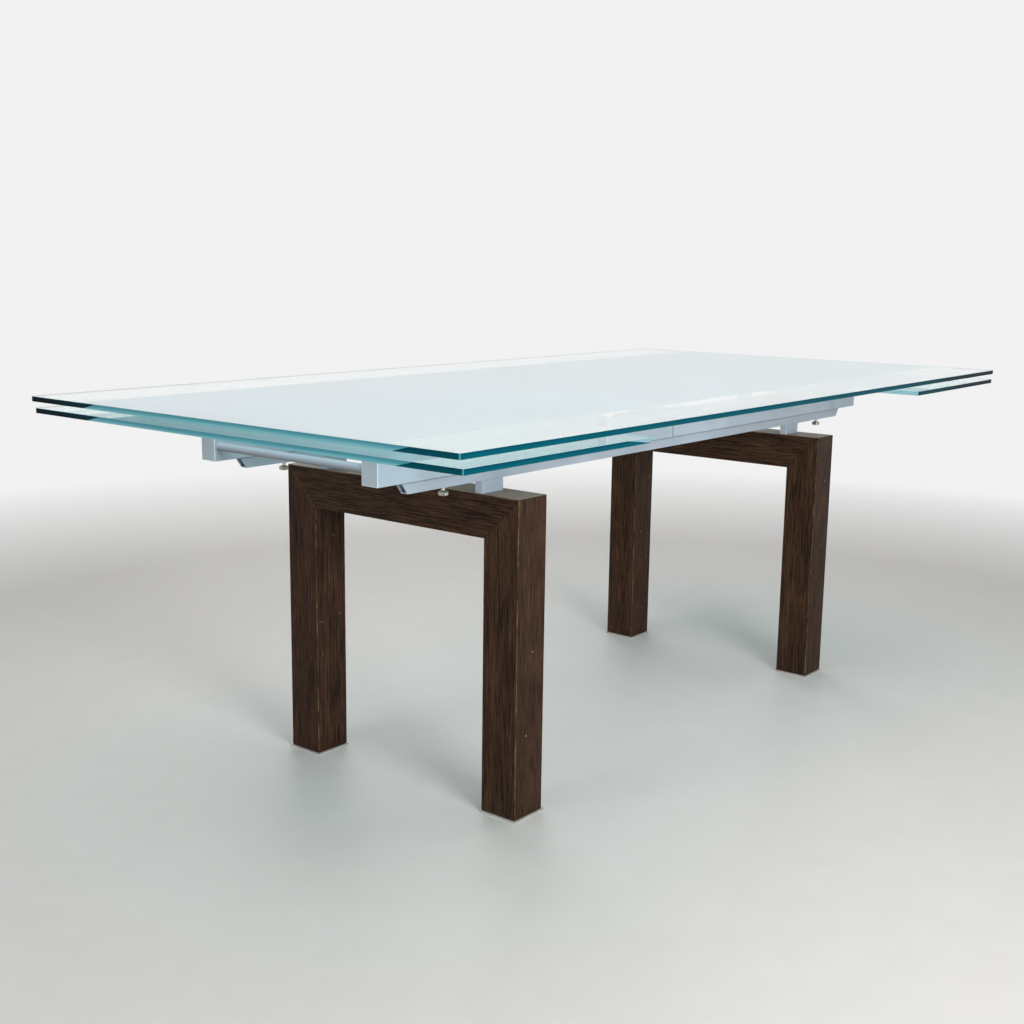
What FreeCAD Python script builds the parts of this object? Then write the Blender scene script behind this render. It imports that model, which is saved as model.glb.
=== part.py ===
"""Extendable dining table: glass top and two glass leaves on sliding rails over two timber frames.

Millimetres. +X runs along the table, +Y to the rear and +Z up. The origin is on the floor, under
the middle of the top. "left" is -X, "right" is +X, "front" is -Y and "rear" is +Y.

The two timber frames stand on the floor and carry blocks. The blocks carry two fixed guide rails
that run the length of the table. Over each guide rail slide two carriage rails, one for each leaf.
The stowed leaves lie under the top, and they travel outwards with their carriages.
"""

import FreeCAD, Part
import os

import Sketcher
from FreeCAD import Rotation, Vector

doc = FreeCAD.newDocument("ExtendableDiningTable")

# ---------------------------------------------------------------------------------------------
# Driving sizes
# ---------------------------------------------------------------------------------------------
SIZES = (
    ("table_height", 750, "floor to the top of the glass"),
    ("top_length", 2075, "main glass, along X"),
    ("top_width", 1065, "main glass and leaves, along Y"),
    ("glass_thickness", 10, "main glass and leaves"),
    ("glass_corner", 5, "radius of the upright corners of the glass"),
    ("glass_arris", 1, "chamfer on the long edges of the glass"),
    ("leaf_length", 475, "one leaf, along X"),
    ("leaf_gap", 12.5, "air between the top and a stowed leaf"),
    ("leaf_inset", 7, "outer end of a stowed leaf, in from the end of the top"),
    ("frame_width", 600, "outside of a frame, along Y"),
    ("frame_height", 600, "floor to the top of a crossbeam"),
    ("frame_spread", 1230, "outside of the left frame to the outside of the right one"),
    ("timber", 80, "square section of legs and crossbeams"),
    ("timber_round", 1.5, "radius on the long edges of the timber"),
    ("foot_thickness", 4, "metal foot plate"),
    ("foot_overhang", 3, "foot plate past the leg, all round"),
    ("foot_screw_spacing", 44, "between the two screws of a foot plate"),
    ("foot_screw_length", 35, "head and thread of a foot screw"),
    ("foot_screw_radius", 2.25, "thread of a foot screw"),
    ("foot_head_radius", 4.5, "countersunk head of a foot screw"),
    ("foot_head_height", 2.5, "countersunk head of a foot screw"),
    ("foot_head_level", 0.5, "floor to the head of a foot screw"),
    ("dowel_radius", 5, "mitre dowels"),
    ("dowel_length", 50, "mitre dowels"),
    ("dowel_spacing", 36, "between the two dowels of a mitre"),
    ("glue_gap", 0.1, "radial room round fixed screws, bolts and dowels"),
    ("free_gap", 0.5, "radial room round parts that pass freely through a hole"),
    ("cut_past", 1, "how far a cutting tool runs past the face it cuts"),
    ("block_length", 60, "block on a crossbeam, along X"),
    ("block_width", 17, "block, along Y"),
    ("block_height", 24, "crossbeam to the guide rail"),
    ("block_setback", 4, "block, in from the -X face of its frame"),
    ("block_round", 1.5, "radius on the upright edges of a block"),
    ("block_shift", 2.5, "block, from the guide rail's centre line towards the middle"),
    ("bolt_radius", 3, "bolts through the blocks"),
    ("bolt_spacing", 32, "between the two bolts of a block"),
    ("bolt_depth", 45, "bolt below the top of the crossbeam"),
    ("bolt_head_radius", 5, "head of a block bolt"),
    ("bolt_head_height", 6, "head of a block bolt"),
    ("rail_inset", 94, "outside of a frame to the centre line of a guide rail"),
    ("guide_length", 1644, "guide rail, along X"),
    ("guide_width", 16, "guide rail, along Y"),
    ("guide_wall", 2.5, "walls and flanges of the guide rail"),
    ("box_height", 30.5, "closed lower box of the guide rail, outside"),
    ("profile_round", 0.8, "radius on the long edges of guide and carriage rails"),
    ("end_cut_length", 17, "slanted cut on a guide end, along X"),
    ("end_cut_height", 24, "slanted cut on a guide end, along Z"),
    ("roller_radius", 13, "all rollers"),
    ("roller_width", 9, "all rollers"),
    ("rolling_gap", 0.3, "between a roller and the track it runs on"),
    ("track_play", 0.7, "free height of the track over a roller"),
    ("side_play", 1, "between a roller and the flange or wall beside it"),
    ("notch_room", 2, "notch in the guide's top flange, past the support roller"),
    ("axle_radius", 4, "roller studs"),
    ("axle_play", 0.05, "radial running clearance on studs and thumb screws"),
    ("stud_flange", 6, "radius of the heads and collars of the studs"),
    ("stud_head", 2, "thickness of the heads of the studs"),
    ("support_setback", 20, "support roller, in from the end of the guide rail"),
    ("carriage_reach", 887, "middle of the table to the outer end of a carriage rail"),
    ("carriage_width", 37, "carriage rail, along Y"),
    ("carriage_height", 46, "carriage rail, along Z"),
    ("carriage_wall", 2.5, "walls and web of the carriage rail"),
    ("web_clearance", 5, "support roller's top over the top of the guide rail"),
    ("centre_gap", 4, "between the left and the right carriage rails"),
    ("inner_setback", 18, "carriage roller, in from the inner end of its rail"),
    ("cap_thickness", 2, "plate of an end cap"),
    ("cap_plug", 10, "plug of an end cap inside the rail"),
    ("cap_play", 0.1, "between the plug and the rail"),
    ("cap_step", 1, "underside of the plug, above the underside of the rail"),
    ("cap_round", 1, "radius on the edges of an end cap"),
    ("tube_radius", 7.5, "cross tube of a carriage"),
    ("tube_wall", 1.5, "cross tube of a carriage"),
    ("tube_setback", 9, "axis of the cross tube, in from the end of the carriage rail"),
    ("tube_level", 673, "floor to the axis of the cross tube"),
    ("lift_gap", 1, "a drawn-out leaf, clear of the end of the top"),
    ("stop_length", 10, "travel stop, along X"),
    ("stop_play", 0.5, "between a carriage roller and its stop at full travel"),
    ("spacer_radius", 8, "leaf spacers"),
    ("spacer_inner", 640, "middle of the table to the inner leaf spacers"),
    ("spacer_outer", 845, "middle of the table to the outer leaf spacers"),
    ("disc_radius", 20, "discs bonded to the glass"),
    ("disc_thickness", 4, "discs bonded to the leaves"),
    ("bearer_place", 440, "middle of the table to the centre line of a bearer"),
    ("bearer_width", 30, "bearer, along X"),
    ("bearer_height", 24, "bearer, along Z"),
    ("bearer_length", 700, "bearer, along Y"),
    ("bearer_wall", 2, "walls of bearers and posts"),
    ("top_disc_height", 12, "discs between a bearer and the top"),
    ("top_disc_inset", 40, "disc, in from the end of a bearer"),
    ("tie_clearance", 5, "cross tie to the underside of the carriage rails"),
    ("post_size", 25, "square posts under a bearer"),
    ("post_inset", 40, "carriage rail to the centre line of a post"),
    ("screw_place", 708, "middle of the table to a thumb screw"),
    ("screw_radius", 3.5, "stem of a thumb screw"),
    ("screw_drop", 6, "bare stem below the insert"),
    ("head_radius", 9, "knurled head of a thumb screw"),
    ("head_height", 8, "knurled head of a thumb screw"),
    ("head_chamfer", 0.8, "edges of a knurled head"),
    ("insert_radius", 5, "threaded insert in the guide rail"),
    ("insert_length", 10, "threaded insert in the guide rail"),
    ("insert_flange", 7, "radius of the insert's flange"),
    ("insert_lip", 1, "thickness of the insert's flange"),
)

sheet = doc.addObject("Spreadsheet::Sheet", "Sizes")
for row, (alias, number, meaning) in enumerate(SIZES, start=1):
    sheet.set(f"A{row}", alias)
    sheet.set(f"B{row}", str(number))
    sheet.setAlias(f"B{row}", alias)
    sheet.set(f"C{row}", meaning)
doc.recompute()

# ---------------------------------------------------------------------------------------------
# Levels and places worked out from the driving sizes, as expressions
# ---------------------------------------------------------------------------------------------
TOP_UNDERSIDE = "(Sizes.table_height - Sizes.glass_thickness)"
LEAF_TOP = f"({TOP_UNDERSIDE} - Sizes.leaf_gap)"
LEAF_UNDERSIDE = f"({LEAF_TOP} - Sizes.glass_thickness)"
LEAF_OUTER = "(Sizes.top_length / 2 - Sizes.leaf_inset)"
LEAF_INNER = f"({LEAF_OUTER} - Sizes.leaf_length)"
BEAM_UNDERSIDE = "(Sizes.frame_height - Sizes.timber)"
FRAME_OUTER = "(Sizes.frame_spread / 2)"
FRAME_INNER = f"({FRAME_OUTER} - Sizes.timber)"
LEG_OUTER = "(Sizes.frame_width / 2)"
LEG_INNER = f"({LEG_OUTER} - Sizes.timber)"
RAIL_LINE = f"({LEG_OUTER} - Sizes.rail_inset)"

GUIDE_BOTTOM = "(Sizes.frame_height + Sizes.block_height)"
GUIDE_INSIDE = f"({RAIL_LINE} - Sizes.guide_width / 2)"
GUIDE_OUTSIDE = f"({RAIL_LINE} + Sizes.guide_width / 2)"
GUIDE_END = "(Sizes.guide_length / 2)"
BOLT_LINE = f"({GUIDE_INSIDE} + Sizes.guide_wall + Sizes.glue_gap + Sizes.bolt_head_radius)"
BOX_FLOOR = f"({GUIDE_BOTTOM} + Sizes.guide_wall)"
TRACK_FLOOR = f"({GUIDE_BOTTOM} + Sizes.box_height)"
BOX_CEILING = f"({TRACK_FLOOR} - Sizes.guide_wall)"
TRACK_CEILING = f"({TRACK_FLOOR} + 2 * Sizes.roller_radius + Sizes.rolling_gap + Sizes.track_play)"
GUIDE_TOP = f"({TRACK_CEILING} + Sizes.guide_wall)"
TRACK_BACK = f"({GUIDE_OUTSIDE} - Sizes.guide_wall)"

CARRIAGE_INSIDE = f"({RAIL_LINE} - Sizes.carriage_width / 2)"
CARRIAGE_OUTSIDE = f"({RAIL_LINE} + Sizes.carriage_width / 2)"
WEB_GAP = "(Sizes.rolling_gap + Sizes.web_clearance)"
WEB_UNDERSIDE = f"({GUIDE_TOP} + {WEB_GAP})"
CARRIAGE_TOP = f"({WEB_UNDERSIDE} + Sizes.carriage_wall)"
CARRIAGE_BOTTOM = f"({CARRIAGE_TOP} - Sizes.carriage_height)"
CARRIAGE_INNER_END = "(Sizes.centre_gap / 2)"
CARRIAGE_OUTER_END = "(Sizes.carriage_reach - Sizes.cap_thickness)"

SUPPORT_AXLE_PLACE = f"({GUIDE_END} - Sizes.support_setback)"
SUPPORT_AXLE_LEVEL = f"({WEB_UNDERSIDE} - Sizes.rolling_gap - Sizes.roller_radius)"
CARRIAGE_AXLE_PLACE = f"({CARRIAGE_INNER_END} + Sizes.inner_setback)"
CARRIAGE_AXLE_LEVEL = f"({TRACK_CEILING} - Sizes.rolling_gap - Sizes.roller_radius)"
ROLLER_OUTSIDE = f"({TRACK_BACK} - Sizes.side_play)"
ROLLER_INSIDE = f"({ROLLER_OUTSIDE} - Sizes.roller_width)"
TRAVEL = "(Sizes.leaf_length + Sizes.leaf_inset + Sizes.lift_gap)"
STOP_FACE = f"({CARRIAGE_AXLE_PLACE} + {TRAVEL} + Sizes.roller_radius + Sizes.stop_play)"

BEARER_TOP = f"({TOP_UNDERSIDE} - Sizes.top_disc_height)"
BEARER_BOTTOM = f"({BEARER_TOP} - Sizes.bearer_height)"
TIE_TOP = f"({CARRIAGE_BOTTOM} - Sizes.tie_clearance)"
SCREW_TOP = f"({WEB_UNDERSIDE} - Sizes.rolling_gap)"
HEAD_TOP = f"({GUIDE_BOTTOM} - Sizes.insert_lip - Sizes.screw_drop)"
HEAD_BOTTOM = f"({HEAD_TOP} - Sizes.head_height)"

SIDES = (("left", -1), ("right", 1))
ENDS = (("front", -1), ("rear", 1))
AXES = {"x": Vector(1, 0, 0), "y": Vector(0, 1, 0), "z": Vector(0, 0, 1)}
PARALLEL = 0.999  # cosine above which an edge runs along an axis
SAME = 1e-6  # coordinates this near each other are the same

nodes = []


# ---------------------------------------------------------------------------------------------
# Helpers
# ---------------------------------------------------------------------------------------------
def value(expression):
    """The number that an expression on the sheet has now."""
    return float(sheet.evalExpression(expression))


def span(sign, near, far):
    """Lowest coordinate and length of the stretch from near to far, on the side that sign names."""
    low = f"({sign} * (({near}) + ({far})) / 2 - (({far}) - ({near})) / 2)"
    return low, f"(({far}) - ({near}))"


def middle(length):
    """Lowest coordinate and length of a stretch centred on zero."""
    return f"(-({length}) / 2)", f"({length})"


def between(low, high):
    """Lowest coordinate and length of the stretch from low to high."""
    return f"({low})", f"(({high}) - ({low}))"


def place(item, base):
    """Bind an object's position to three expressions."""
    for axis, expression in zip("xyz", base):
        item.setExpression("Placement.Base." + axis, expression)


def box(name, x, y, z):
    """Box between three stretches, each a pair of lowest coordinate and length."""
    item = doc.addObject("Part::Box", name)
    for side, stretch in zip(("Length", "Width", "Height"), (x, y, z)):
        item.setExpression(side, stretch[1])
    place(item, (x[0], y[0], z[0]))
    return item


def rod(name, radius, axis, stretch, centre):
    """Cylinder along an axis; centre gives the other two coordinates, in X, Y, Z order."""
    item = doc.addObject("Part::Cylinder", name)
    item.setExpression("Radius", radius)
    item.setExpression("Height", stretch[1])
    item.Placement.Rotation = Rotation(AXES["z"], AXES[axis])
    base = list(centre)
    base.insert("xyz".index(axis), stretch[0])
    place(item, base)
    return item


def prism(name, plane, points, length, start=None, fillet=None):
    """Body padded from a closed outline; points are pairs of expressions in the sketch's plane.

    points may also be a list of such outlines, the outer one first and holes after it. The pad is
    centred on the plane, or starts at start along X. fillet is a radius and the axis of the outer
    edges that it rounds.
    """
    body = doc.addObject("PartDesign::Body", name)
    sketch = body.newObject("Sketcher::SketchObject", name + "_outline")
    support = [feature for feature in body.Origin.OriginFeatures if feature.Role == plane][0]
    sketch.AttachmentSupport = [(support, "")]
    sketch.MapMode = "FlatFace"
    first = 0
    for loop in points if isinstance(points[0], list) else [points]:
        corners = [Vector(value(across), value(up), 0) for across, up in loop]
        for index, corner in enumerate(corners):
            sketch.addGeometry(Part.LineSegment(corner, corners[(index + 1) % len(corners)]))
        for index, (across, up) in enumerate(loop):
            edge = first + index
            following = first + (index + 1) % len(loop)
            sketch.addConstraint(Sketcher.Constraint("Coincident", edge, 2, following, 1))
            for kind, expression in (("DistanceX", across), ("DistanceY", up)):
                number = value(expression)
                added = sketch.addConstraint(Sketcher.Constraint(kind, -1, 1, edge, 1, number))
                sketch.setExpression(f"Constraints[{added}]", expression)
        first += len(loop)
    pad = body.newObject("PartDesign::Pad", name + "_pad")
    pad.Profile = sketch
    pad.setExpression("Length", length)
    pad.Midplane = start is None
    if start is not None:
        body.setExpression("Placement.Base.x", start)
    if fillet is not None:
        doc.recompute()
        radius, axis = fillet
        rounding = body.newObject("PartDesign::Fillet", name + "_round")
        rounding.Base = (pad, outer_edges(pad.Shape, axis))
        rounding.setExpression("Radius", radius)
        body.Tip = rounding
    return body


def edges_along(shape, axis):
    """Names of a shape's straight edges that run along an axis."""
    names = []
    for number, edge in enumerate(shape.Edges, start=1):
        run = edge.lastVertex().Point - edge.firstVertex().Point
        if run.Length > 0 and abs(run.normalize().dot(AXES[axis])) > PARALLEL:
            names.append(f"Edge{number}")
    return names


def outer_edges(shape, axis):
    """Names of the four edges along an axis that lie on the corners of a shape's box.

    On a mitred bar each of these edges still runs along one corner, at its own length.
    """
    limits = shape.BoundBox
    lows = (limits.XMin, limits.YMin, limits.ZMin)
    highs = (limits.XMax, limits.YMax, limits.ZMax)
    across = [index for index in range(3) if "xyz"[index] != axis]
    names = []
    for name in edges_along(shape, axis):
        point = shape.getElement(name).firstVertex().Point
        if all(min(point[index] - lows[index], highs[index] - point[index]) < SAME for index in across):
            names.append(name)
    return names


def rounded(name, base, radius, names):
    """Round the named edges of an object."""
    item = doc.addObject("Part::Fillet", name)
    item.Base = base
    item.Edges = [(int(edge[4:]), radius, radius) for edge in names]
    return item


def cut(name, base, tools):
    """Base less one or more tools."""
    item = doc.addObject("Part::Cut", name)
    item.Base = base
    item.Tool = tools[0] if len(tools) == 1 else fuse(name + "_tools", tools)
    return item


def fuse(name, pieces):
    """One solid out of several that touch, or a set of cutting tools."""
    item = doc.addObject("Part::MultiFuse", name)
    item.Shapes = pieces
    return item


def group(name, pieces):
    """Separate solids that share one node."""
    item = doc.addObject("Part::Compound", name)
    item.Links = pieces
    return item


def node(label, item):
    """Name a finished sub-part and put it on the list of those to write."""
    item.Label = label
    nodes.append(item)
    return item


# ---------------------------------------------------------------------------------------------
# Timber frames: legs and crossbeams, mitred at 45 degrees and dowelled, on metal foot plates
# ---------------------------------------------------------------------------------------------
def mitre_dowels(side_name, side, end_name, end, radius, tag):
    """Dowels, or their holes, square to the mitre of one corner of one frame."""
    centre_x = f"{side} * ({FRAME_OUTER} - Sizes.timber / 2)"
    centre_y = f"{end} * ({LEG_OUTER} - Sizes.timber / 2)"
    centre_z = "Sizes.frame_height - Sizes.timber / 2"
    half = "Sizes.dowel_length / 2" if tag == "dowel" else "Sizes.dowel_length / 2 + Sizes.glue_gap"
    reach = f"({half}) * sqrt(0.5)"
    pieces = []
    for place_name, offset in (("a", -1), ("b", 1)):
        item = doc.addObject("Part::Cylinder", f"{tag}_{side_name}_{end_name}_{place_name}")
        item.setExpression("Radius", radius)
        item.setExpression("Height", f"2 * ({half})")
        item.Placement.Rotation = Rotation(AXES["z"], Vector(0, end, -1))
        start = (
            f"{centre_x} + {offset} * Sizes.dowel_spacing / 2",
            f"{centre_y} - {end} * {reach}",
            f"{centre_z} + {reach}",
        )
        place(item, start)
        pieces.append(item)
    return pieces


def foot_screws(side_name, side, end_name, end, grown, tag):
    """Countersunk screws, or their holes, up through one foot plate into the leg."""
    centre_x = f"{side} * ({FRAME_OUTER} - Sizes.timber / 2)"
    centre_y = f"{end} * ({LEG_OUTER} - Sizes.timber / 2)"
    pieces = []
    for place_name, offset in (("a", -1), ("b", 1)):
        name = f"{tag}_{side_name}_{end_name}_{place_name}"
        across = f"{centre_x} + {offset} * Sizes.foot_screw_spacing / 2"
        head = doc.addObject("Part::Cone", name + "_head")
        head.setExpression("Radius1", f"Sizes.foot_head_radius + {grown}")
        head.setExpression("Radius2", f"Sizes.foot_screw_radius + {grown}")
        head.setExpression("Height", "Sizes.foot_head_height")
        place(head, (across, centre_y, "Sizes.foot_head_level"))
        shank = rod(name + "_shank", f"Sizes.foot_screw_radius + {grown}", "z",
                    between("Sizes.foot_head_height", "Sizes.foot_screw_length"), (across, centre_y))
        pieces.append(fuse(name, [head, shank]))
    return pieces


def recess(name, across, along):
    """Hole that lets a screw head sit a little above the floor."""
    return rod(name, "Sizes.foot_head_radius + Sizes.glue_gap", "z",
               between("-Sizes.cut_past", "Sizes.foot_head_level"), (across, along))


dowels = []
screws = []
for side_name, side in SIDES:
    frame_start, frame_depth = span(side, FRAME_INNER, FRAME_OUTER)
    beam_holes = []
    for end_name, end in ENDS:
        corner = f"{end_name}_{side_name}"
        dowels += mitre_dowels(side_name, side, end_name, end, "Sizes.dowel_radius", "dowel")
        screws += foot_screws(side_name, side, end_name, end, "0", "foot_screw")
        holes = mitre_dowels(side_name, side, end_name, end, "Sizes.dowel_radius + Sizes.glue_gap",
                             "dowel_hole")
        screw_holes = foot_screws(side_name, side, end_name, end, "Sizes.glue_gap", "screw_hole")
        beam_holes += holes
        leg_outline = [
            (f"{end} * {LEG_OUTER}", "Sizes.foot_thickness"),
            (f"{end} * {LEG_INNER}", "Sizes.foot_thickness"),
            (f"{end} * {LEG_INNER}", BEAM_UNDERSIDE),
            (f"{end} * {LEG_OUTER}", "Sizes.frame_height"),
        ]
        blank = prism(f"leg_blank_{corner}", "YZ_Plane", leg_outline, frame_depth, frame_start,
                      fillet=("Sizes.timber_round", "z"))
        node(f"leg_{corner}", cut(f"leg_{corner}", blank, holes + screw_holes))

        plate = box(
            f"plate_{corner}",
            span(side, f"{FRAME_INNER} - Sizes.foot_overhang", f"{FRAME_OUTER} + Sizes.foot_overhang"),
            span(end, f"{LEG_INNER} - Sizes.foot_overhang", f"{LEG_OUTER} + Sizes.foot_overhang"),
            between("0", "Sizes.foot_thickness"),
        )
        recesses = []
        for place_name, offset in (("a", -1), ("b", 1)):
            across = f"{side} * ({FRAME_OUTER} - Sizes.timber / 2) + {offset} * Sizes.foot_screw_spacing / 2"
            along = f"{end} * ({LEG_OUTER} - Sizes.timber / 2)"
            recesses.append(recess(f"recess_{corner}_{place_name}", across, along))
        node(f"foot_plate_{corner}", cut(f"foot_plate_{corner}", plate, screw_holes + recesses))

    beam_outline = [
        (f"-{LEG_OUTER}", "Sizes.frame_height"),
        (LEG_OUTER, "Sizes.frame_height"),
        (LEG_INNER, BEAM_UNDERSIDE),
        (f"-{LEG_INNER}", BEAM_UNDERSIDE),
    ]
    beam = prism(f"beam_blank_{side_name}", "YZ_Plane", beam_outline, frame_depth, frame_start,
                 fillet=("Sizes.timber_round", "y"))

    # Blocks: both frames are alike, so the blocks keep to the same side of each crossbeam.
    block_start = f"({frame_start} + Sizes.block_setback)"
    block_middle = f"({block_start} + Sizes.block_length / 2)"
    for end_name, end in ENDS:
        block_line = f"({end} * ({RAIL_LINE} - Sizes.block_shift))"
        bolt_line = f"({end} * {BOLT_LINE})"
        holes = []
        for place_name, offset in (("a", -1), ("b", 1)):
            across = f"{block_middle} + {offset} * Sizes.bolt_spacing / 2"
            name = f"bolt_hole_{side_name}_{end_name}_{place_name}"
            holes.append(rod(name, "Sizes.bolt_radius + Sizes.glue_gap", "z",
                             between("Sizes.frame_height - Sizes.bolt_depth - Sizes.cut_past",
                                     f"{GUIDE_BOTTOM} + Sizes.cut_past"),
                             (across, bolt_line)))
        beam_holes += holes
        body = box(
            f"block_body_{side_name}_{end_name}",
            (block_start, "Sizes.block_length"),
            (f"({block_line} - Sizes.block_width / 2)", "Sizes.block_width"),
            between("Sizes.frame_height", GUIDE_BOTTOM),
        )
        doc.recompute()
        body = rounded(f"block_round_{side_name}_{end_name}", body, sheet.block_round,
                       edges_along(body.Shape, "z"))
        node(f"rail_block_{end_name}_{side_name}", cut(f"rail_block_{end_name}_{side_name}", body, holes))
    node(f"crossbeam_{side_name}", cut(f"crossbeam_{side_name}", beam, beam_holes))

node("mitre_dowels", group("mitre_dowels", dowels))
node("foot_screws", group("foot_screws", screws))


# ---------------------------------------------------------------------------------------------
# Fixed guide rails: a closed box below, an open roller track above, slanted at both ends
# ---------------------------------------------------------------------------------------------
def block_bolt(name, across, along):
    """Cap bolt from inside the guide's box, down through the block into the crossbeam."""
    head = rod(name + "_head", "Sizes.bolt_head_radius", "z",
               (BOX_FLOOR, "Sizes.bolt_head_height"), (across, along))
    shank = rod(name + "_shank", "Sizes.bolt_radius", "z",
                between("Sizes.frame_height - Sizes.bolt_depth", BOX_FLOOR), (across, along))
    return fuse(name, [head, shank])


def thread_insert(name, across, along):
    """Flanged insert in the floor of the guide's box."""
    flange = rod(name + "_flange", "Sizes.insert_flange", "z",
                 (f"({GUIDE_BOTTOM} - Sizes.insert_lip)", "Sizes.insert_lip"), (across, along))
    sleeve = rod(name + "_sleeve", "Sizes.insert_radius", "z",
                 (GUIDE_BOTTOM, "Sizes.insert_length"), (across, along))
    thread = rod(name + "_thread", "Sizes.screw_radius + Sizes.axle_play", "z",
                 between(f"{GUIDE_BOTTOM} - Sizes.insert_lip - Sizes.cut_past",
                         f"{GUIDE_BOTTOM} + Sizes.insert_length + Sizes.cut_past"),
                 (across, along))
    return cut(name, fuse(name + "_body", [flange, sleeve]), [thread])


def support_stud(name, across, end):
    """Stud through the back wall of the guide, with a head outside and a collar past the roller."""
    shank = rod(name + "_shank", "Sizes.axle_radius", "y",
                span(end, f"{ROLLER_INSIDE} - Sizes.stud_head", GUIDE_OUTSIDE),
                (across, SUPPORT_AXLE_LEVEL))
    head = rod(name + "_head", "Sizes.stud_flange", "y",
               span(end, GUIDE_OUTSIDE, f"{GUIDE_OUTSIDE} + Sizes.stud_head"),
               (across, SUPPORT_AXLE_LEVEL))
    collar = rod(name + "_collar", "Sizes.stud_flange", "y",
                 span(end, f"{ROLLER_INSIDE} - Sizes.side_play / 2 - Sizes.stud_head",
                      f"{ROLLER_INSIDE} - Sizes.side_play / 2"),
                 (across, SUPPORT_AXLE_LEVEL))
    return fuse(name, [shank, head, collar])


def roller(name, across, level, end):
    """Plain roller on a stud."""
    tyre = rod(name + "_tyre", "Sizes.roller_radius", "y", span(end, ROLLER_INSIDE, ROLLER_OUTSIDE),
               (across, level))
    bore = rod(name + "_bore", "Sizes.axle_radius + Sizes.axle_play", "y",
               span(end, f"{ROLLER_INSIDE} - Sizes.cut_past", f"{ROLLER_OUTSIDE} + Sizes.cut_past"),
               (across, level))
    return cut(name, tyre, [bore])


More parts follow.
